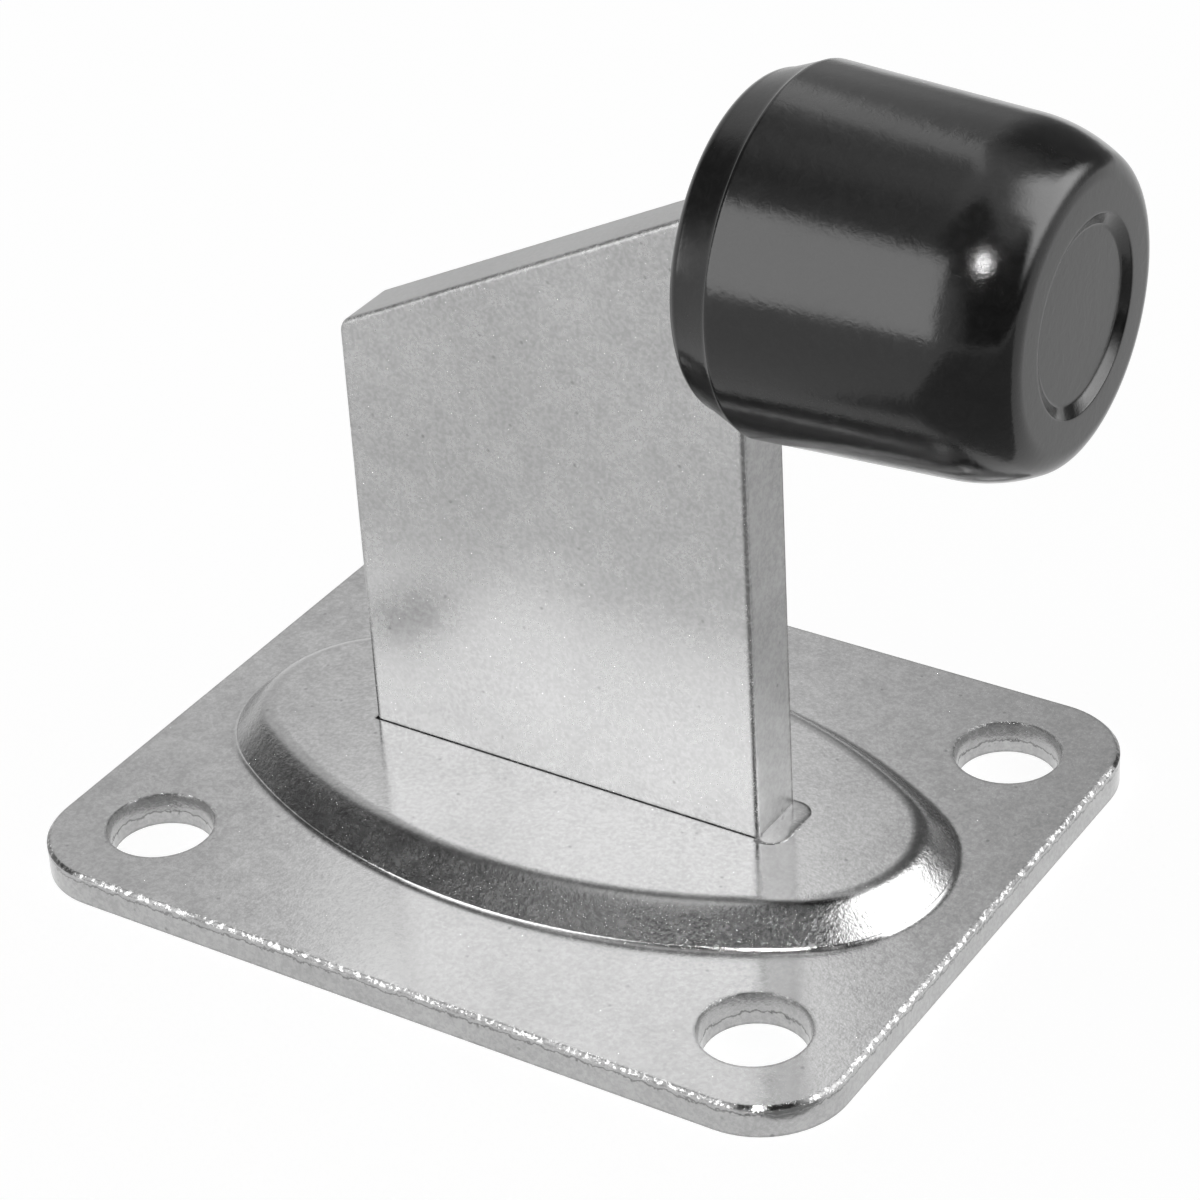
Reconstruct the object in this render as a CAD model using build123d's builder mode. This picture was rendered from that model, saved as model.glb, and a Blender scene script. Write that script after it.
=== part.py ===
"""Gate stop: an embossed foot plate, a flat steel upright and a rubber buffer on its tongue.

Millimetres, +Z up, +X the way the buffer points. The origin is in the middle of the four fixing
holes, on the underside of the plate, which lies on the ground.
"""
from build123d import *
from math import atan2, cos, degrees, hypot, pi, radians, sin, tan
import os

# Foot plate, pressed from sheet
plate_length = 80.0
plate_width = 64.0
plate_thick = 3.0
plate_corner_r = 7.9
plate_edge_chamfer = 0.3
hole_spacing_x = 61.0
hole_spacing_y = 45.0
hole_r = 4.5
hole_land = 1.3
hole_flare_deg = 12.0

# Raised oval in the plate, hollow beneath, with a flat margin left round it
boss_end_margin = 4.3
boss_side_margin = 12.0
boss_end_r = 13.6
boss_height = 3.0
boss_flank_deg = 45.0
boss_crown_r = 2.6
boss_foot_r = 0.7
# The solids that raise and hollow the oval start this far below the plate's faces.
form_skirt = 1.0
form_wall = 0.5

# Upright, cut from flat bar, with a foot through the plate and a tongue for the buffer
upright_left = -20.35
upright_width = 40.0
upright_thick = 6.0
upright_low_height = 46.7
upright_rise_deg = 26.6
upright_corner_r = 1.6
upright_edge_r = 0.45
foot_above_ground = 0.9
tongue_height = 8.0
tongue_length = 21.0
tongue_root = 1.0
tongue_tip_chamfer = 1.2
notch_depth = 0.8
notch_length = 4.0
notch_from_seat = 10.0

# Slot in the raised oval, longer than the foot on the buffer's side
slot_clearance = 0.12
slot_tail = 2.2
slot_tail_r = 1.7

# Weld on the underside, all round the foot, lapping the slot's end and rising into its tail
weld_leg = 2.0
weld_lap = 1.0
weld_flank_deg = 35.0
weld_rise = 0.6

# Rubber buffer, turned about its own axis
buffer_axis_height = 62.2
buffer_rear_r = 14.0
buffer_rear_edge_chamfer = 0.7
buffer_ring_r = 15.25
buffer_ring_step = 0.12
buffer_ring_from_seat = 4.2
buffer_shoulder_r = 14.4
buffer_shoulder_from_seat = 21.5
buffer_length = 28.8
buffer_face_r = 10.5
nose_edge_r = 2.45
recess_r = 7.95
recess_floor_r = 7.1
recess_depth = 0.55
recess_rim_chamfer = 0.15

# Heights and places that follow from these
boss_half_length = plate_length / 2 - boss_end_margin
boss_half_width = plate_width / 2 - boss_side_margin
boss_top = plate_thick + boss_height
hollow_top = boss_top - plate_thick
upright_right = upright_left + upright_width
upright_high_height = upright_low_height + upright_width * tan(radians(upright_rise_deg))
slot_left = upright_left - slot_clearance
slot_right = upright_right + slot_tail
slot_half_width = upright_thick / 2 + slot_clearance
weld_left = upright_left - weld_leg
weld_right = slot_right + weld_lap
# The hollow's wall runs parallel to the flank above it, one sheet thickness away.
hollow_inset = plate_thick * tan(radians(boss_flank_deg / 2))
# The sheet bends round the same centre above and below, so its underside turns more gently. There
# a bevel stands for the bend, and reaches as far along both faces as the bend would.
hollow_mouth_bevel = (boss_foot_r + plate_thick) * tan(radians(boss_flank_deg / 2))
# Both solids' flanks run on below the plate's faces, so that they cross them cleanly.
form_drop = boss_height + form_skirt
form_run = form_drop / tan(radians(boss_flank_deg))
skirt_run = form_skirt / tan(radians(boss_flank_deg))


def oval_outline(inset):
    """Draw the raised oval's outline, moved inwards, as two wide arcs and two end arcs."""
    half_length = boss_half_length - inset
    half_width = boss_half_width - inset
    end_r = boss_end_r - inset
    end_x = half_length - end_r
    side_r = (end_x**2 + half_width**2 - end_r**2) / (2 * (half_width - end_r))
    side_y = side_r - half_width
    reach = side_r / hypot(end_x, side_y)
    meet_x = end_x * reach
    meet_y = side_y * reach - side_y
    ThreePointArc((-meet_x, meet_y), (0, half_width), (meet_x, meet_y))
    ThreePointArc((meet_x, meet_y), (half_length, 0), (meet_x, -meet_y))
    ThreePointArc((meet_x, -meet_y), (0, -half_width), (-meet_x, -meet_y))
    ThreePointArc((-meet_x, -meet_y), (-half_length, 0), (-meet_x, meet_y))


def slot_outline(left):
    """Draw the slot from a left end, with rounded corners at its end on the buffer's side."""
    with Locations(((left + slot_right) / 2, 0)):
        Rectangle(slot_right - left, 2 * slot_half_width)
    fillet(vertices().group_by(Axis.X)[-1], slot_tail_r)


def tongue_outline(root):
    """Draw the tongue's side view from its root, with a pointed tip and two holding notches."""
    half = tongue_height / 2
    notch_end = notch_from_seat + notch_length
    upper = [
        (-root, half),
        (notch_from_seat, half),
        (notch_from_seat + notch_depth, half - notch_depth),
        (notch_end, half - notch_depth),
        (notch_end, half),
        (tongue_length - tongue_tip_chamfer, half),
        (tongue_length, half - tongue_tip_chamfer),
    ]
    lower = [(x, -z) for x, z in reversed(upper)]
    Polyline(*upper, *lower, close=True)


def nose_outline():
    """Draw the nose from the buffer's cone to its end face, as a wide arc and a tight one."""
    cone = atan2(buffer_ring_r - buffer_shoulder_r, buffer_shoulder_from_seat - buffer_ring_from_seat)
    run = buffer_length - buffer_shoulder_from_seat
    drop = buffer_shoulder_r - buffer_face_r
    wide_r = ((run - nose_edge_r) ** 2 + drop**2 - nose_edge_r**2) / (
        2 * (cos(cone) * drop - nose_edge_r - (run - nose_edge_r) * sin(cone))
    )
    meet = atan2(run - nose_edge_r + wide_r * sin(cone), wide_r * cos(cone) - drop)
    start = (buffer_shoulder_from_seat, buffer_shoulder_r)
    wide = JernArc(start, (cos(cone), -sin(cone)), wide_r, degrees(cone - meet))
    JernArc(wide @ 1, wide % 1, nose_edge_r, degrees(meet) - degrees(pi / 2))


# The upright's middle plane, with its origin where the buffer's axis meets the upright's edge
seat_plane = Plane(origin=(upright_right, 0, buffer_axis_height), x_dir=(1, 0, 0), z_dir=(0, -1, 0))

# Raised oval with sloping flank and soft crown
with BuildPart() as boss_form:
    with BuildSketch(Plane.XY.offset(plate_thick - form_skirt - form_wall)):
        with BuildLine():
            oval_outline(-skirt_run)
        make_face()
    extrude(amount=form_wall + form_drop)
    top_face = boss_form.faces().sort_by(Axis.Z)[-1]
    chamfer(top_face.edges(), form_run, form_drop, reference=top_face)
    fillet(boss_form.faces().sort_by(Axis.Z)[-1].edges(), boss_crown_r)

# Hollow beneath it
with BuildPart() as hollow_form:
    with BuildSketch(Plane.XY.offset(-form_skirt - form_wall)):
        with BuildLine():
            oval_outline(hollow_inset - skirt_run)
        make_face()
    extrude(amount=form_wall + form_drop)
    top_face = hollow_form.faces().sort_by(Axis.Z)[-1]
    chamfer(top_face.edges(), form_run, form_drop, reference=top_face)

# Foot plate
with BuildPart() as base_plate:
    with BuildSketch(Plane.XY):
        RectangleRounded(plate_length, plate_width, plate_corner_r)
    extrude(amount=plate_thick)
    chamfer(base_plate.faces().sort_by(Axis.Z)[-1].edges(), plate_edge_chamfer)

    add(boss_form.part)
    flat_top = base_plate.faces().filter_by(Plane.XY).group_by(Axis.Z)[-2].sort_by(SortBy.AREA)[-1]
    fillet(flat_top.inner_wires()[0].edges(), boss_foot_r)
    add(hollow_form.part, mode=Mode.SUBTRACT)
    underside = base_plate.faces().sort_by(Axis.Z)[0]
    chamfer(underside.inner_wires()[0].edges(), hollow_mouth_bevel)

    with BuildSketch(Plane.XY):
        slot_outline(slot_left)
    extrude(amount=boss_top, mode=Mode.SUBTRACT)

    # The holes are punched from below, so they break out wider above a straight land.
    with BuildSketch(Plane.XY.offset(hole_land)) as punch:
        with GridLocations(hole_spacing_x, hole_spacing_y, 2, 2):
            Circle(hole_r)
    extrude(amount=-hole_land, mode=Mode.SUBTRACT)
    extrude(punch.sketch, amount=plate_thick - hole_land, taper=-hole_flare_deg, mode=Mode.SUBTRACT)

# Upright with its foot and tongue
with BuildPart() as upright:
    with BuildSketch(Plane.XZ.offset(upright_thick / 2)):
        with BuildLine():
            Polyline(
                (upright_left, foot_above_ground),
                (upright_right, foot_above_ground),
                (upright_right, upright_high_height),
                (upright_left, upright_low_height),
                close=True,
            )
        make_face()
        fillet(vertices().sort_by(Axis.X)[:2].sort_by(Axis.Y)[-1], upright_corner_r)
    extrude(amount=-upright_thick)
    front = upright.faces().sort_by(Axis.Y)[0]
    fillet(front.edges().filter_by(lambda edge: edge.center().Z > boss_top), upright_edge_r)
    with BuildSketch(seat_plane.offset(upright_thick / 2)):
        with BuildLine():
            tongue_outline(tongue_root)
        make_face()
    extrude(amount=-upright_thick)

# Weld on the underside, round the foot, and in the slot's tail
with BuildPart() as weld_bead:
    with BuildSketch(Plane.XY.offset(hollow_top)):
        with Locations(((weld_left + weld_right) / 2, 0)):
            RectangleRounded(weld_right - weld_left, upright_thick + 2 * weld_leg, weld_leg)
    extrude(amount=foot_above_ground - hollow_top, taper=weld_flank_deg)
    with BuildSketch(Plane.XY.offset(hollow_top)):
        with Locations(((upright_left + upright_right) / 2, 0)):
            Rectangle(upright_width, upright_thick)
    extrude(amount=-hollow_top, mode=Mode.SUBTRACT)
    with BuildSketch(Plane.XY.offset(hollow_top)):
        slot_outline(upright_right)
    extrude(amount=weld_rise)

# Rubber buffer, moulded round the tongue
with BuildPart() as buffer:
    with BuildSketch(seat_plane):
        with BuildLine():
            Polyline(
                (0, 0),
                (0, buffer_rear_r),
                (buffer_ring_from_seat, buffer_ring_r - buffer_ring_step),
                (buffer_ring_from_seat, buffer_ring_r),
                (buffer_shoulder_from_seat, buffer_shoulder_r),
            )
            nose_outline()
            Polyline(
                (buffer_length, buffer_face_r),
                (buffer_length, recess_r),
                (buffer_length - recess_depth, recess_floor_r),
                (buffer_length - recess_depth, 0),
                (0, 0),
            )
        make_face()
    revolve(axis=Axis(seat_plane.origin, seat_plane.x_dir))
    chamfer(buffer.faces().sort_by(Axis.X)[0].edges(), buffer_rear_edge_chamfer)
    end_ring = buffer.faces().filter_by(Plane.YZ).group_by(Axis.X)[-1][0]
    chamfer(end_ring.inner_wires()[0].edges(), recess_rim_chamfer)
    with BuildSketch(seat_plane.offset(upright_thick / 2)):
        with BuildLine():
            tongue_outline(0)
        make_face()
    extrude(amount=-upright_thick, mode=Mode.SUBTRACT)

os.makedirs("parts", exist_ok=True)

base_plate.part.label = "base_plate"
export_step(base_plate.part, "parts/base_plate.step")

upright.part.label = "upright"
export_step(upright.part, "parts/upright.step")

weld_bead.part.label = "weld_bead"
export_step(weld_bead.part, "parts/weld_bead.step")

buffer.part.label = "buffer"
export_step(buffer.part, "parts/buffer.step")
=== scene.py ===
"""Looks of the gate stop: zinc plated steel, a moulded rubber buffer and a soft white studio."""
from collections import namedtuple
import math

import bmesh
import bpy
from mathutils import Matrix, Vector


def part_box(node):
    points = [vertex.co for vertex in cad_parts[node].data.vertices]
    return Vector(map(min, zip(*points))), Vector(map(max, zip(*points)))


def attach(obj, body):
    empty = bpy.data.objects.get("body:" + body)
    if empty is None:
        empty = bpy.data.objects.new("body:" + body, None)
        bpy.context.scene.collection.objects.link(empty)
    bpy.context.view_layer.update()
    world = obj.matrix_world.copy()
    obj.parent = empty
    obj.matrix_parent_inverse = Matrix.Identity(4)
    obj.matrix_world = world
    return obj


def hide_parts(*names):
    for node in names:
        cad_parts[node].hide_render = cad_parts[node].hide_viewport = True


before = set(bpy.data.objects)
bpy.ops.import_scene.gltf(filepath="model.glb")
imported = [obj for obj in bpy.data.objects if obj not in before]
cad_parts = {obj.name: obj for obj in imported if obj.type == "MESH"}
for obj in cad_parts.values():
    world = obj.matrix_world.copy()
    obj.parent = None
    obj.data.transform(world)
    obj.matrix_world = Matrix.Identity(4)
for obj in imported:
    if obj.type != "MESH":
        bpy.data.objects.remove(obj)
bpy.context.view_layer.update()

MM = 0.001

# Camera, fitted to the photograph: angles in degrees, lengths in millimetres and pixels
PHOTO_SIZE_PX = 1200
CAMERA_AZIMUTH = 33.935
CAMERA_ELEVATION = 32.117
CAMERA_ROLL = -3.485
CAMERA_DISTANCE_MM = 354.637
CAMERA_FOCAL_PX = 3959.0
CAMERA_ORIGIN_RIGHT_MM = -1.118
CAMERA_ORIGIN_DOWN_MM = 19.345
CAMERA_CLIP_START_M = 0.01
SENSOR_MM = 36.0

# Studio: radiances, where 1 is white
BACKDROP_WHITE = 1.0
FILL_ON_OBJECT = 0.36
FLOOR_HALF_M = 3.0
FLOOR_DROP_MM = 0.02
FLOOR_GLOW = 0.9
FLOOR_ALBEDO = 0.25
STUDIO_CENTRE = Vector((0.0, 0.0, 0.03))

# Light tent: boxes of directions in degrees, each laid over those before it, with its radiance and
# the share of its size over which it fades
TENT_RADIUS_M = 1.0
Box = namedtuple("Box", "azimuth elevation width height level soft")
DARK_CLOTHS = (
    Box(-80, 41, 136, 79, 0.1, 0.31),
    Box(10, 61, 92, 68, 0.12, 0.23),
    Box(56, 23, 113, 79, 0.06, 0.2),
    Box(173, 26, 100, 100, 0.14, 0.33),
)
LOW_PANEL = Box(-80, 3, 90, 16, 1.1, 0.3)
BACK_PANEL = Box(-130, 30, 80, 50, 0.8, 0.3)
BACK_STRIP = Box(-145, 56, 15.5, 52, 1.95, 0.18)
SIDE_LAMP = Box(117, 44, 84, 72, 5.8, 0.25)
KEY_LAMP = Box(-27, 20, 54, 58, 4.0, 0.12)
GLINT_LAMP = Box(26, 46, 7, 9, 150.0, 0.3)
TENT_BOXES = DARK_CLOTHS + (LOW_PANEL, BACK_PANEL, BACK_STRIP, SIDE_LAMP, KEY_LAMP, GLINT_LAMP)

# Grey cloth on the floor at the front right: its reach, its directions and its radiance
CLOTH_NEAR_M = 0.05
CLOTH_FAR_M = 0.6
CLOTH_FROM_DEG = 8
CLOTH_TO_DEG = 88
CLOTH_STEPS = 12
CLOTH_GLOW = 0.3

# Zinc finish: tones and roughness run from 0 to 1, and textures have so many features per millimetre
ZINC_TONE = 0.44
PLATE_SEED_MM = (0.0, 0.0, 0.0)
BAR_SEED_MM = (31.0, 17.0, 5.0)
CLOUDS_PER_MM = 0.06
BLOTCHES_PER_MM = 0.4
GRAIN_PER_MM = 2.2
SPARKLE_PER_MM = 4.5
PITS_PER_MM = 0.4
CHIPS_PER_MM = 1.3
DENTS_PER_MM = 1.7
PEEL_PER_MM = 2.4
TEARS_PER_MM = 1.1
NOISE_RANGE = (0.3, 0.7)
GRAIN_RANGE = (0.32, 0.68)
CHIPS_RANGE = (0.44, 0.56)
DENTS_RANGE = (0.41, 0.5)
PIT_REACH = (0.03, 0.1)
CLOUDS_TONE = 0.015
BLOTCHES_TONE = 0.02
GRAIN_TONE = 0.035
ZINC_ROUGHNESS = (0.13, 0.18)
GRAIN_ROUGHER = 0.02
BEVEL_SAMPLES = 2
RIM_SOFT_MM = 0.4
RIM_MATCH = (0.93, 0.998)
RIM_RELIEF = 0.8
CHIPS_LIGHTER = 0.1
DENTS_DARKER = -0.3
TEAR_DARKER = -0.2
PIT_DARKER = -0.12
BAR_ROUGHER = 0.1
CUT_EDGE_DARKER = -0.13
CUT_EDGE_ROUGHER = 0.08
# Darker tone of the drawn slopes: painted shade, partly duller stretched zinc
DRAWN_DULLING_AND_SHADE = -0.1
DRAWN_ROUGHER = 0.1
DRAWN_LIFT = 0.45
DRAWN_FROM_Z_MM = 3.33
DRAWN_TO_Z_MM = 6.1
MASK_SOFT_MM = 0.1
PLATE_TOP_Z_MM = 3.0
SHEAR_LINE_Z_MM = 2.25
PUNCH_LINE_Z_MM = 1.3
TEAR_WANDER_MM = 0.22
TEAR_LINE_MM = (0.03, 0.14)
TEAR_STEP_MM = 0.08
HOLE_X_MM = 30.5
HOLE_Y_MM = 22.5
HOLE_REACH_MM = 5.3
BEVEL_Z_MM = (2.5, 2.65, 3.02, 3.06)

# Ranges of the face normal's part upwards (UP) or along Y (FRONT) over which a finish fades in or out
WALL_UP = (0.25, 0.4)
BEVEL_UP = (0.4, 0.6, 0.8, 0.95)
SLOPE_UP = (0.5, 0.66, 0.8, 0.99)
SLOPE_FRONT = (-0.62, -0.3)
BAR_FRONT = (0.2, 0.5)

# Weld in the slot's tail, in millimetres: a low puddle beside the bar that laps the slot's edge, as
# steps of its outline's share and its height
BAR_RIGHT_X = 19.65
BAR_HALF_THICK = 3.0
TAIL_LENGTH = 2.2
TAIL_CORNER_R = 1.7
TAIL_CORNER_STEPS = 8
TAIL_SIDE_GAP = 0.12
TAIL_FOOT_Z = 5.8
TAIL_RISE = ((1.16, 5.99), (1.0, 6.04), (0.75, 6.08), (0.4, 6.1))

# Rubber buffer's section in millimetres; its length and widest radius come from the CAD buffer's box
REAR_R = 14.0
REAR_EDGE_R = 1.2
REAR_EDGE_STEPS = 8
RING_FROM_SEAT = 4.2
RING_STEP = 0.12
RING_GROOVE = 0.16
REAR_SLOPE = 0.25
SHOULDER_R = 14.4
SHOULDER_FROM_SEAT = 21.5
SHOULDER_STEPS = 20
FACE_R = 10.5
NOSE_EDGE_R = 2.45
NOSE_EDGE_STEPS = 16
RECESS_R = 7.95
RECESS_FLOOR_R = 7.1
RECESS_DEPTH = 0.55
RIM_R = 0.2
RIM_TURN = 0.7
RIM_STEPS = 5
FLOOR_R = 0.15
BUFFER_STEPS = 192

# Rubber finish: tones and roughness run from 0 to 1, and textures have so many features per millimetre
RUBBER_CLOUDS_PER_MM = 0.12
RUBBER_GRAIN_PER_MM = 3.2
RUBBER_MARKS_PER_MM = 0.9
SCUFF_GRAIN_PER_MM = 2.2
RUBBER_TONE = (0.018, 0.03)
RUBBER_ROUGHNESS = (0.12, 0.17)
MARKS_ROUGHER = 0.05
RUBBER_SPECULAR = 0.46

# Scuffed spot on the buffer's shoulder, in millimetres, that roughens the lamp's glint
SCUFF_PLACE = (45.2, -10.3, 71.1)
SCUFF_INNER = 0.7
SCUFF_OUTER = 2.8


def direction(azimuth, elevation):
    """Point from the object towards an azimuth (0 is the front, 90 the buffer's side) and elevation."""
    turn, lift = math.radians(azimuth), math.radians(elevation)
    return Vector((math.sin(turn) * math.cos(lift), -math.cos(turn) * math.cos(lift), math.sin(lift)))


class Nodes:
    """A short way to write the node tree of a material or a world."""

    def __init__(self, owner):
        self.owner = owner
        owner.use_nodes = True
        self.tree = owner.node_tree
        self.tree.nodes.clear()

    def add(self, kind, inputs=None, **settings):
        """Add a node, set its properties, and set or link its inputs."""
        node = self.tree.nodes.new(kind)
        for key, value in settings.items():
            setattr(node, key, value)
        for key, value in (inputs or {}).items():
            socket = node.inputs[key]
            if isinstance(value, bpy.types.NodeSocket):
                self.tree.links.new(value, socket)
            else:
                socket.default_value = value
        return node

    def math(self, operation, *values, clamp=False):
        """Add a maths node and give its result."""
        return self.add(
            "ShaderNodeMath", dict(enumerate(values)), operation=operation, use_clamp=clamp
        ).outputs[0]

    def spread(self, value, low, high, to_low, to_high):
        """Map a range onto another, smoothly and within its ends."""
        inputs = {"Value": value, "From Min": low, "From Max": high, "To Min": to_low, "To Max": to_high}
        return self.add("ShaderNodeMapRange", inputs, interpolation_type="SMOOTHSTEP").outputs["Result"]

    def product(self, *values):
        """Multiply values together."""
        result = values[0]
        for value in values[1:]:
            result = self.math("MULTIPLY", result, value)
        return result

    def vector(self, operation, *values, output="Vector"):
        """Add a vector maths node and give its result."""
        inputs = dict(enumerate(values))
        return self.add("ShaderNodeVectorMath", inputs, operation=operation).outputs[output]

    def split(self, vector):
        """Split a vector into X, Y and Z."""
        return self.add("ShaderNodeSeparateXYZ", {0: vector}).outputs

    def window(self, value, start, full, last, end):
        """Give 1 from full to last, fading to 0 at start and end."""
        rise = self.spread(value, start, full, 0.0, 1.0)
        fall = self.spread(value, last, end, 1.0, 0.0)
        return self.product(rise, fall)

    def grey(self, value):
        """Turn a number into a grey colour."""
        return self.add("ShaderNodeCombineColor", {0: value, 1: value, 2: value}).outputs[0]

    def place(self):
        """Give the surface's place in millimetres."""
        point = self.add("ShaderNodeTexCoord").outputs["Object"]
        scaled = self.add("ShaderNodeVectorMath", {0: point, "Scale": 1 / MM}, operation="SCALE")
        return scaled.outputs[0]

    def noise(self, place, per_mm, detail=2.0, roughness=0.5, distortion=0.0):
        """Give noise with so many features per millimetre."""
        inputs = {
            "Vector": place, "Scale": per_mm, "Detail": detail,
            "Roughness": roughness, "Distortion": distortion,
        }
        return self.add("ShaderNodeTexNoise", inputs).outputs[0]

    def bump(self, height, strength, distance_mm, normal=None):
        """Add a bump, over another if one is given, and give the normal."""
        inputs = {"Height": height, "Strength": strength, "Distance": distance_mm * MM}
        if normal is not None:
            inputs["Normal"] = normal
        return self.add("ShaderNodeBump", inputs).outputs[0]

    def finish(self, shader):
        """Send a shader to the output."""
        self.add("ShaderNodeOutputMaterial", {"Surface": shader})
        return self.owner


def sheet_tears(nodes, shift, spot, facing):
    """Draw the ragged line that the press leaves round the plate's edge and inside each hole.

    Gives the line itself, and the step between the smooth cut below it and the torn metal above it.
    """
    across = nodes.math("SUBTRACT", nodes.math("ABSOLUTE", spot["X"]), HOLE_X_MM)
    along = nodes.math("SUBTRACT", nodes.math("ABSOLUTE", spot["Y"]), HOLE_Y_MM)
    squares = nodes.math("ADD", nodes.math("POWER", across, 2.0), nodes.math("POWER", along, 2.0))
    from_hole = nodes.math("SQRT", squares)
    line_z = nodes.spread(
        from_hole, HOLE_REACH_MM - MASK_SOFT_MM, HOLE_REACH_MM, PUNCH_LINE_Z_MM, SHEAR_LINE_Z_MM
    )
    ragged = nodes.noise(shift, TEARS_PER_MM, 3.0, 0.7)
    wander = nodes.spread(ragged, *NOISE_RANGE, -TEAR_WANDER_MM, TEAR_WANDER_MM)
    over = nodes.math("SUBTRACT", spot["Z"], nodes.math("ADD", line_z, wander))
    wall = nodes.spread(nodes.math("ABSOLUTE", facing["Z"]), *WALL_UP, 1.0, 0.0)
    in_sheet = nodes.spread(spot["Z"], PLATE_TOP_Z_MM, PLATE_TOP_Z_MM + MASK_SOFT_MM, 1.0, 0.0)
    on_wall = nodes.product(wall, in_sheet)
    line = nodes.spread(nodes.math("ABSOLUTE", over), *TEAR_LINE_MM, 1.0, 0.0)
    step = nodes.spread(over, -TEAR_STEP_MM, TEAR_STEP_MM, 0.0, 1.0)
    return nodes.product(on_wall, line), nodes.product(on_wall, step)


def drawn_slopes(nodes, height, facing):
    """Give 1 on the oval's drawn slopes and 0 elsewhere."""
    sloping = nodes.window(facing["Z"], *SLOPE_UP)
    at_oval = nodes.window(
        height, DRAWN_FROM_Z_MM - MASK_SOFT_MM, DRAWN_FROM_Z_MM, DRAWN_TO_Z_MM, DRAWN_TO_Z_MM + MASK_SOFT_MM
    )
    return nodes.product(sloping, at_oval)


def plate_bevel(nodes, height, facing):
    """Give 1 on the small bevel round the plate's top and 0 elsewhere."""
    sloping = nodes.window(facing["Z"], *BEVEL_UP)
    at_top = nodes.window(height, *BEVEL_Z_MM)
    return nodes.product(sloping, at_top)


def zinc_material(name, tone, seed_mm, is_bar=False):
    """Bright zinc plating: mottled tone, fine grain, sparse pits and broken highlights on the rims."""
    nodes = Nodes(bpy.data.materials.new(name))
    place = nodes.place()
    spot = nodes.split(place)
    shift = nodes.vector("ADD", place, seed_mm)
    clouds = nodes.noise(shift, CLOUDS_PER_MM, 2.0)
    blotches = nodes.noise(shift, BLOTCHES_PER_MM, 3.0, 0.6)
    grain = nodes.noise(shift, GRAIN_PER_MM, 2.0, 0.7)
    sparkle = nodes.noise(shift, SPARKLE_PER_MM, 1.0)
    cells = nodes.add("ShaderNodeTexVoronoi", {"Vector": shift, "Scale": PITS_PER_MM}).outputs["Distance"]
    pit = nodes.spread(cells, *PIT_REACH, 1.0, 0.0)

    # Rims show where the rounded normal leaves the face's own, with chips and dents along them.
    flat = nodes.add("ShaderNodeNewGeometry").outputs["Normal"]
    facing = nodes.split(flat)
    soft = nodes.add("ShaderNodeBevel", {"Radius": RIM_SOFT_MM * MM}, samples=BEVEL_SAMPLES).outputs[0]
    match = nodes.vector("DOT_PRODUCT", soft, flat, output="Value")
    rim = nodes.spread(match, *RIM_MATCH, 1.0, 0.0)
    chips = nodes.spread(nodes.noise(shift, CHIPS_PER_MM, 3.0, 0.65), *CHIPS_RANGE, 0.0, 1.0)
    worn = nodes.product(rim, chips)
    scuffs = nodes.spread(nodes.noise(shift, DENTS_PER_MM, 3.0, 0.75), *DENTS_RANGE, 0.0, 1.0)
    edge = nodes.math("MAXIMUM", rim, plate_bevel(nodes, spot["Z"], facing))
    dents = nodes.product(edge, scuffs)
    tear, step = sheet_tears(nodes, shift, spot, facing)

    # The drawn slopes are duller, orange-peeled and painted darker, partly as stretched zinc and partly as
    # painted shade, and the front ones lean back a little.
    drawn = drawn_slopes(nodes, spot["Z"], facing)
    peel = nodes.product(drawn, nodes.noise(shift, PEEL_PER_MM, 2.0, 0.75))
    lean = nodes.product(drawn, nodes.spread(facing["Y"], *SLOPE_FRONT, DRAWN_LIFT, 0.0))
    lift = nodes.add("ShaderNodeCombineXYZ", {2: lean}).outputs[0]
    eased = nodes.vector("NORMALIZE", nodes.vector("ADD", soft, lift))

    value = tone
    for texture, reach, amount in (
        (clouds, NOISE_RANGE, CLOUDS_TONE),
        (blotches, NOISE_RANGE, BLOTCHES_TONE),
        (grain, GRAIN_RANGE, GRAIN_TONE),
    ):
        value = nodes.math("ADD", nodes.spread(texture, *reach, -amount, amount), value)
    marks = [
        (dents, DENTS_DARKER),
        (tear, TEAR_DARKER),
        (worn, CHIPS_LIGHTER),
        (pit, PIT_DARKER),
        # the drawn slopes' darker tone is painted shade, partly duller stretched zinc
        (drawn, DRAWN_DULLING_AND_SHADE),
    ]
    rough = nodes.spread(blotches, *NOISE_RANGE, *ZINC_ROUGHNESS)
    rough = nodes.math("ADD", nodes.spread(grain, *NOISE_RANGE, -GRAIN_ROUGHER, GRAIN_ROUGHER), rough)
    rough = nodes.math("MULTIPLY_ADD", drawn, DRAWN_ROUGHER, rough)
    if is_bar:
        # The bar's sheared edges are duller and darker than its rolled faces.
        sheared = nodes.spread(nodes.math("ABSOLUTE", facing["Y"]), *BAR_FRONT, 1.0, 0.0)
        marks.append((sheared, CUT_EDGE_DARKER))
        rough = nodes.math("ADD", rough, BAR_ROUGHER)
        rough = nodes.math("MULTIPLY_ADD", sheared, CUT_EDGE_ROUGHER, rough)
    for mask, amount in marks:
        value = nodes.math("MULTIPLY_ADD", mask, amount, value)
    colour = nodes.grey(nodes.math("ADD", value, 0.0, clamp=True))

    normal = eased
    for relief, strength, depth_mm in (
        (blotches, 0.15, 0.008),
        (grain, 0.5, 0.014),
        (sparkle, 0.5, 0.006),
        (peel, 1.0, 0.05),
        (chips, nodes.product(rim, RIM_RELIEF), 0.06),
        (step, 1.0, 0.05),
    ):
        normal = nodes.bump(relief, strength, depth_mm, normal)
    shader = nodes.add(
        "ShaderNodeBsdfPrincipled",
        {"Base Color": colour, "Metallic": 1.0, "Roughness": rough, "Normal": normal},
    )
    return nodes.finish(shader.outputs[0])


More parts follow.
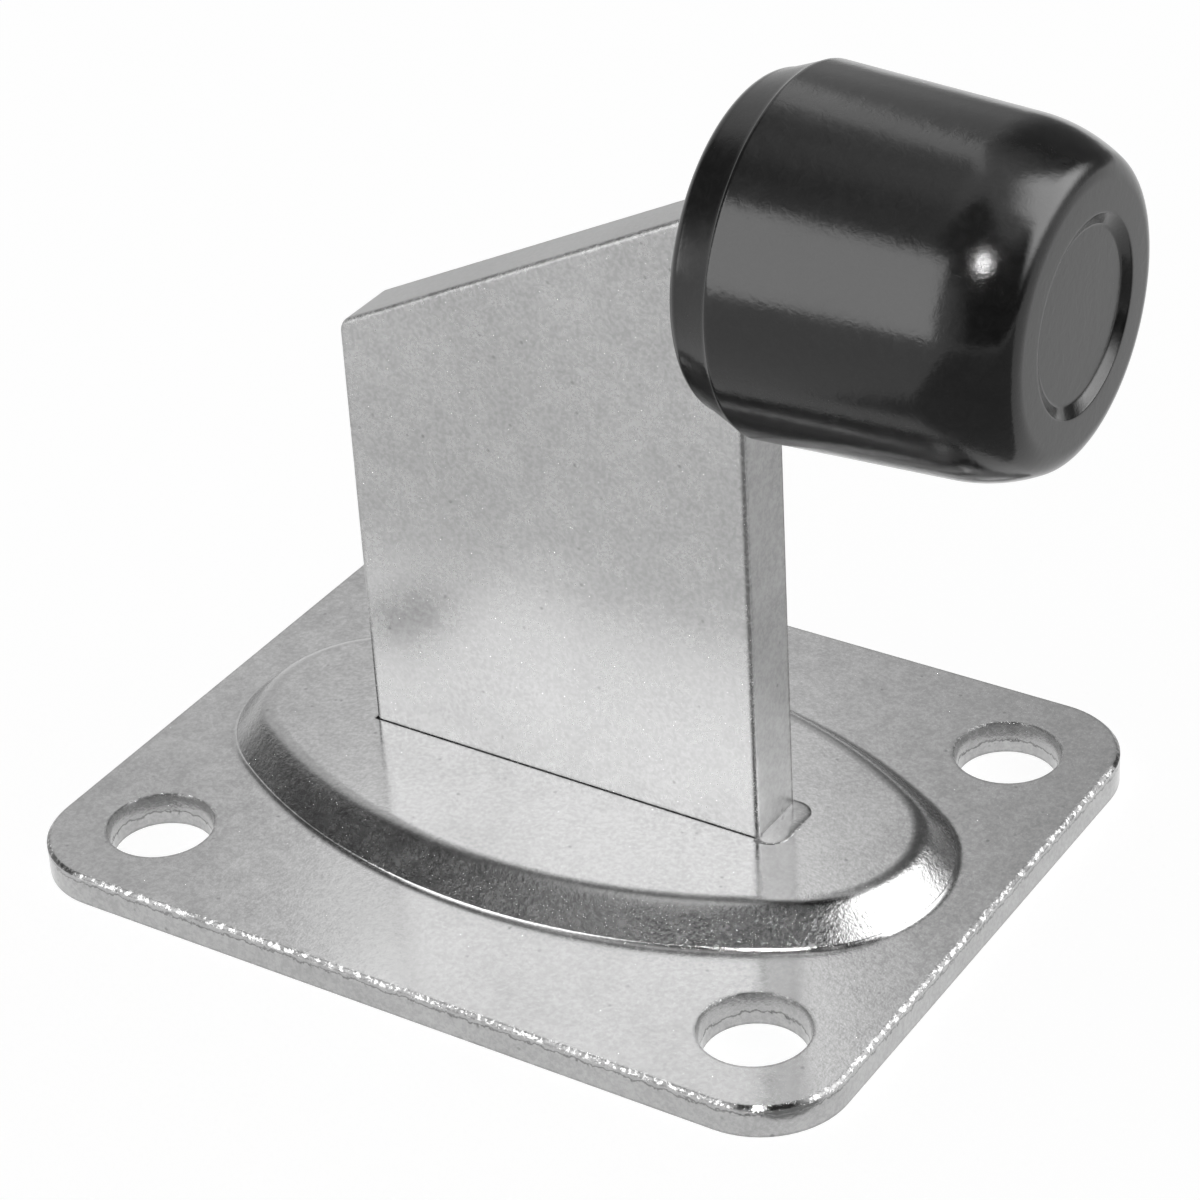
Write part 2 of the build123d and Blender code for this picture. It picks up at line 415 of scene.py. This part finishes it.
def rubber_material(name):
    """Smooth moulded black rubber with a waxy gloss, faint handling marks and a scuffed spot."""
    nodes = Nodes(bpy.data.materials.new(name))
    place = nodes.place()
    clouds = nodes.noise(place, RUBBER_CLOUDS_PER_MM, 3.0)
    grain = nodes.noise(place, RUBBER_GRAIN_PER_MM, 2.0)
    marks = nodes.noise(place, RUBBER_MARKS_PER_MM, 4.0, 0.65, 0.6)
    from_scuff = nodes.vector("DISTANCE", place, SCUFF_PLACE, output="Value")
    scuffed = nodes.spread(from_scuff, SCUFF_INNER, SCUFF_OUTER, 1.0, 0.0)
    scuff = nodes.product(scuffed, nodes.noise(place, SCUFF_GRAIN_PER_MM, 3.0, 0.8))
    colour = nodes.grey(nodes.spread(marks, 0.3, 0.75, *RUBBER_TONE))
    cloudy = nodes.spread(clouds, *NOISE_RANGE, *RUBBER_ROUGHNESS)
    roughness = nodes.math("ADD", cloudy, nodes.spread(marks, 0.45, 0.75, 0.0, MARKS_ROUGHER))
    normal = None
    for relief, strength, depth_mm in ((grain, 0.4, 0.01), (scuff, 1.0, 0.02), (marks, 0.5, 0.03)):
        normal = nodes.bump(relief, strength, depth_mm, normal)
    shader = nodes.add(
        "ShaderNodeBsdfPrincipled",
        {
            "Base Color": colour, "Roughness": roughness, "Normal": normal,
            "Specular IOR Level": RUBBER_SPECULAR,
        },
    )
    return nodes.finish(shader.outputs[0])


def add_object(name, mesh):
    """Put a mesh into the scene as an object."""
    piece = bpy.data.objects.new(name, mesh)
    bpy.context.scene.collection.objects.link(piece)
    return piece


def mesh_from(shape, name):
    """Turn a bmesh into a mesh and free it."""
    mesh = bpy.data.meshes.new(name)
    shape.to_mesh(mesh)
    shape.free()
    return mesh


def arc_points(centre, radius, start, stop, steps):
    """Give points along an arc, without its first, from a start angle to a stop angle in radians."""
    turns = [start + (stop - start) * step / steps for step in range(1, steps + 1)]
    return [(centre[0] + radius * math.cos(turn), centre[1] + radius * math.sin(turn)) for turn in turns]


def buffer_profile(length, ring_r):
    """Draw the rubber's half section from its rear centre to its front centre, as (along, radius) in mm."""
    cone = math.atan2(ring_r - SHOULDER_R, SHOULDER_FROM_SEAT - RING_FROM_SEAT)
    run = length - SHOULDER_FROM_SEAT
    drop = SHOULDER_R - FACE_R
    wide_r = ((run - NOSE_EDGE_R) ** 2 + drop**2 - NOSE_EDGE_R**2) / (
        2 * (math.cos(cone) * drop - NOSE_EDGE_R - (run - NOSE_EDGE_R) * math.sin(cone))
    )
    meet = math.atan2(run - NOSE_EDGE_R + wide_r * math.sin(cone), wide_r * math.cos(cone) - drop)
    quarter = math.pi / 2
    points = [(0.0, 0.0), (0.0, REAR_R - REAR_EDGE_R)]
    rear_centre = (REAR_EDGE_R, REAR_R - REAR_EDGE_R)
    points += arc_points(rear_centre, REAR_EDGE_R, 2 * quarter, quarter, REAR_EDGE_STEPS)
    # Short steps beside each crease keep the long stretches straight when they are shaded smooth.
    hold = 2 * RING_STEP
    points += [
        (RING_FROM_SEAT - RING_STEP - hold, ring_r - RING_GROOVE - hold * REAR_SLOPE),
        (RING_FROM_SEAT - RING_STEP, ring_r - RING_GROOVE),
        (RING_FROM_SEAT, ring_r - RING_GROOVE / 2),
        (RING_FROM_SEAT + RING_STEP, ring_r),
        (RING_FROM_SEAT + RING_STEP + hold, ring_r - hold * math.tan(cone)),
        (SHOULDER_FROM_SEAT, SHOULDER_R),
    ]
    wide_centre = (
        SHOULDER_FROM_SEAT - wide_r * math.sin(cone),
        SHOULDER_R - wide_r * math.cos(cone),
    )
    points += arc_points(wide_centre, wide_r, quarter - cone, quarter - meet, SHOULDER_STEPS)
    nose_centre = (length - NOSE_EDGE_R, FACE_R)
    points += arc_points(nose_centre, NOSE_EDGE_R, quarter - meet, 0, NOSE_EDGE_STEPS)
    rim = RECESS_R + RIM_R
    points += [(length, rim + hold), (length, rim)]
    points += arc_points((length - RIM_R, rim), RIM_R, 0, -quarter * RIM_TURN, RIM_STEPS)
    floor_along = length - RECESS_DEPTH
    points += [(floor_along + FLOOR_R, RECESS_FLOOR_R + FLOOR_R / 2), (floor_along, RECESS_FLOOR_R)]
    points += [(floor_along, RECESS_FLOOR_R - hold), (floor_along, 0.0)]
    return points


def build_buffer():
    """Turn the rubber buffer about its axis, in the CAD buffer's place."""
    low, high = (Vector(corner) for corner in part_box("buffer"))
    axis = (low + high) / 2
    length = (high.x - low.x) / MM
    ring_r = (high.z - low.z) / 2 / MM
    profile = buffer_profile(length, ring_r)
    shape = bmesh.new()
    rings = []
    for along, radius in profile:
        if radius == 0:
            rings.append([shape.verts.new((low.x + along * MM, axis.y, axis.z))])
            continue
        turns = [2 * math.pi * step / BUFFER_STEPS for step in range(BUFFER_STEPS)]
        rings.append([
            shape.verts.new((
                low.x + along * MM,
                axis.y + radius * MM * math.cos(turn),
                axis.z + radius * MM * math.sin(turn),
            ))
            for turn in turns
        ])
    for first, second in zip(rings, rings[1:]):
        for step in range(BUFFER_STEPS):
            after = (step + 1) % BUFFER_STEPS
            if len(first) == 1:
                shape.faces.new((first[0], second[after], second[step]))
            elif len(second) == 1:
                shape.faces.new((first[step], first[after], second[0]))
            else:
                shape.faces.new((first[step], first[after], second[after], second[step]))
    bmesh.ops.recalc_face_normals(shape, faces=shape.faces)
    for face in shape.faces:
        face.smooth = True
    piece = add_object("rubber_buffer", mesh_from(shape, "rubber_buffer"))
    piece.data.materials.append(rubber_material("black_rubber"))
    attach(piece, "root")
    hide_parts("buffer")


def build_tail_weld(material):
    """Raise the weld in the slot's tail beside the bar, as a low rounded puddle."""
    half = BAR_HALF_THICK + TAIL_SIDE_GAP
    left, right = BAR_RIGHT_X - TAIL_SIDE_GAP, BAR_RIGHT_X + TAIL_LENGTH
    outline = [(left, -half)]
    for side in (-1, 1):
        centre = (right - TAIL_CORNER_R, side * (half - TAIL_CORNER_R))
        start = -math.pi / 2 if side < 0 else 0.0
        outline += arc_points(centre, TAIL_CORNER_R, start, start + math.pi / 2, TAIL_CORNER_STEPS)
    outline.append((left, half))
    middle_x = (left + right) / 2
    shape = bmesh.new()
    rings = []
    for share, height in ((TAIL_RISE[0][0], TAIL_FOOT_Z),) + TAIL_RISE:
        rings.append([
            shape.verts.new((
                (middle_x + (along - middle_x) * share) * MM,
                across * share * MM,
                height * MM,
            ))
            for along, across in outline
        ])
    count = len(outline)
    for lower, upper in zip(rings, rings[1:]):
        for step in range(count):
            after = (step + 1) % count
            side = shape.faces.new((lower[step], lower[after], upper[after], upper[step]))
            side.smooth = lower is not rings[0]
    shape.faces.new(rings[-1]).smooth = True
    piece = add_object("tail_weld", mesh_from(shape, "tail_weld"))
    piece.data.materials.append(material)
    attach(piece, "root")


def wear_material(piece, material):
    """Give a piece this material alone."""
    piece.data.materials.clear()
    piece.data.materials.append(material)


def soft_box(nodes, azimuth, elevation, box):
    """Give 1 inside a box of directions and 0 outside it, with soft edges."""
    fade = None
    turned = nodes.math("WRAP", nodes.math("SUBTRACT", azimuth, box.azimuth), 180.0, -180.0)
    lifted = nodes.math("SUBTRACT", elevation, box.elevation)
    for offset, size in ((turned, box.width), (lifted, box.height)):
        off = nodes.math("ABSOLUTE", nodes.math("DIVIDE", offset, size))
        side = nodes.spread(off, 0.5 - box.soft, 0.5, 1.0, 0.0)
        fade = side if fade is None else nodes.math("MULTIPLY", fade, side)
    return fade


def stage_for_reflections(piece):
    """Make a piece of the studio show only in reflections, and not be sampled as a lamp."""
    piece.active_material.cycles.emission_sampling = "NONE"
    piece.visible_camera = False
    piece.visible_diffuse = False
    piece.visible_shadow = False


def build_tent():
    """A white light tent round the object, with its lamps and dark cloths."""
    shape = bmesh.new()
    bmesh.ops.create_uvsphere(shape, u_segments=48, v_segments=24, radius=TENT_RADIUS_M)
    tent = add_object("tent", mesh_from(shape, "tent"))
    tent.location = STUDIO_CENTRE

    nodes = Nodes(bpy.data.materials.new("tent"))
    point = nodes.add("ShaderNodeTexCoord").outputs["Object"]
    split = nodes.split(nodes.vector("NORMALIZE", point))
    forward = nodes.math("MULTIPLY", split["Y"], -1.0)
    azimuth = nodes.math("DEGREES", nodes.math("ARCTAN2", split["X"], forward))
    elevation = nodes.math("DEGREES", nodes.math("ARCSINE", split["Z"]))
    level = BACKDROP_WHITE
    for box in TENT_BOXES:
        fade = soft_box(nodes, azimuth, elevation, box)
        mixed = {"Factor": fade, "A": level, "B": box.level}
        level = nodes.add("ShaderNodeMix", mixed, data_type="FLOAT").outputs[0]
    glow = nodes.add("ShaderNodeEmission", {"Strength": level}).outputs[0]
    tent.data.materials.append(nodes.finish(glow))
    stage_for_reflections(tent)


def build_floor_cloth():
    """A grey cloth on the floor at the front right."""
    corners = []
    for reach in (CLOTH_NEAR_M, CLOTH_FAR_M):
        for step in range(CLOTH_STEPS + 1):
            turn = CLOTH_FROM_DEG + (CLOTH_TO_DEG - CLOTH_FROM_DEG) * step / CLOTH_STEPS
            corners.append(direction(turn, 0) * reach)
    row = CLOTH_STEPS + 1
    faces = [(step, step + 1, row + step + 1, row + step) for step in range(CLOTH_STEPS)]
    mesh = bpy.data.meshes.new("dark_cloth")
    mesh.from_pydata(corners, [], faces)
    cloth = add_object("dark_cloth", mesh)
    nodes = Nodes(bpy.data.materials.new("dark_cloth"))
    glow = nodes.add("ShaderNodeEmission", {"Strength": CLOTH_GLOW}).outputs[0]
    cloth.data.materials.append(nodes.finish(glow))
    stage_for_reflections(cloth)


def build_camera():
    """Place the camera that the photograph was taken with."""
    back = direction(CAMERA_AZIMUTH, CAMERA_ELEVATION)
    right = Vector((0, 0, 1)).cross(back).normalized()
    up = back.cross(right)
    roll = math.radians(CAMERA_ROLL)
    rolled_right = right * math.cos(roll) + up * math.sin(roll)
    rolled_up = up * math.cos(roll) - right * math.sin(roll)
    aside = rolled_up * CAMERA_ORIGIN_DOWN_MM - rolled_right * CAMERA_ORIGIN_RIGHT_MM
    place = back * CAMERA_DISTANCE_MM + aside
    data = bpy.data.cameras.new("camera")
    data.sensor_width = SENSOR_MM
    data.lens = CAMERA_FOCAL_PX / PHOTO_SIZE_PX * SENSOR_MM
    data.clip_start = CAMERA_CLIP_START_M
    camera = bpy.data.objects.new("camera", data)
    bpy.context.scene.collection.objects.link(camera)
    turned = Matrix((rolled_right, rolled_up, back)).transposed()
    camera.matrix_world = Matrix.Translation(place * MM) @ turned.to_4x4()
    bpy.context.scene.camera = camera


def seen_or_mirrored(nodes):
    """Give 1 for rays that show the backdrop: straight, in a reflection or through glass."""
    path = nodes.add("ShaderNodeLightPath").outputs
    either = nodes.math("MAXIMUM", path["Is Camera Ray"], path["Is Glossy Ray"])
    return nodes.math("MAXIMUM", either, path["Is Transmission Ray"])


def build_world():
    """White all round for the eye and for reflections, and a soft fill on the object."""
    world = bpy.data.worlds.new("studio")
    bpy.context.scene.world = world
    nodes = Nodes(world)
    shown = seen_or_mirrored(nodes)
    strength = nodes.spread(shown, 0.0, 1.0, FILL_ON_OBJECT, BACKDROP_WHITE)
    white = {"Color": (1.0, 1.0, 1.0, 1.0), "Strength": strength}
    background = nodes.add("ShaderNodeBackground", white)
    nodes.add("ShaderNodeOutputWorld", {"Surface": background.outputs[0]})


def build_floor():
    """A wide pale floor that stays white and keeps the object's soft shadow."""
    half = FLOOR_HALF_M
    mesh = bpy.data.meshes.new("floor")
    corners = [(-half, -half, 0), (half, -half, 0), (half, half, 0), (-half, half, 0)]
    mesh.from_pydata(corners, [], [(0, 1, 2, 3)])
    floor = add_object("floor", mesh)
    floor.location.z = -FLOOR_DROP_MM * MM
    nodes = Nodes(bpy.data.materials.new("floor"))
    paper = nodes.add("ShaderNodeBsdfDiffuse", {"Color": (FLOOR_ALBEDO,) * 3 + (1.0,)}).outputs[0]
    strength = nodes.product(seen_or_mirrored(nodes), FLOOR_GLOW)
    glow = nodes.add("ShaderNodeEmission", {"Strength": strength}).outputs[0]
    both = nodes.add("ShaderNodeAddShader", {0: paper, 1: glow}).outputs[0]
    mesh.materials.append(nodes.finish(both))


bpy.context.scene.view_settings.view_transform = "Standard"
build_camera()
build_world()
build_floor()
build_tent()
build_floor_cloth()

zinc_plate = zinc_material("zinc_plate", ZINC_TONE, PLATE_SEED_MM)
zinc_bar = zinc_material("zinc_bar", ZINC_TONE, BAR_SEED_MM, is_bar=True)
for node in ("base_plate", "weld_bead"):
    wear_material(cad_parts[node], zinc_plate)
wear_material(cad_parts["upright"], zinc_bar)
build_tail_weld(zinc_plate)
build_buffer()
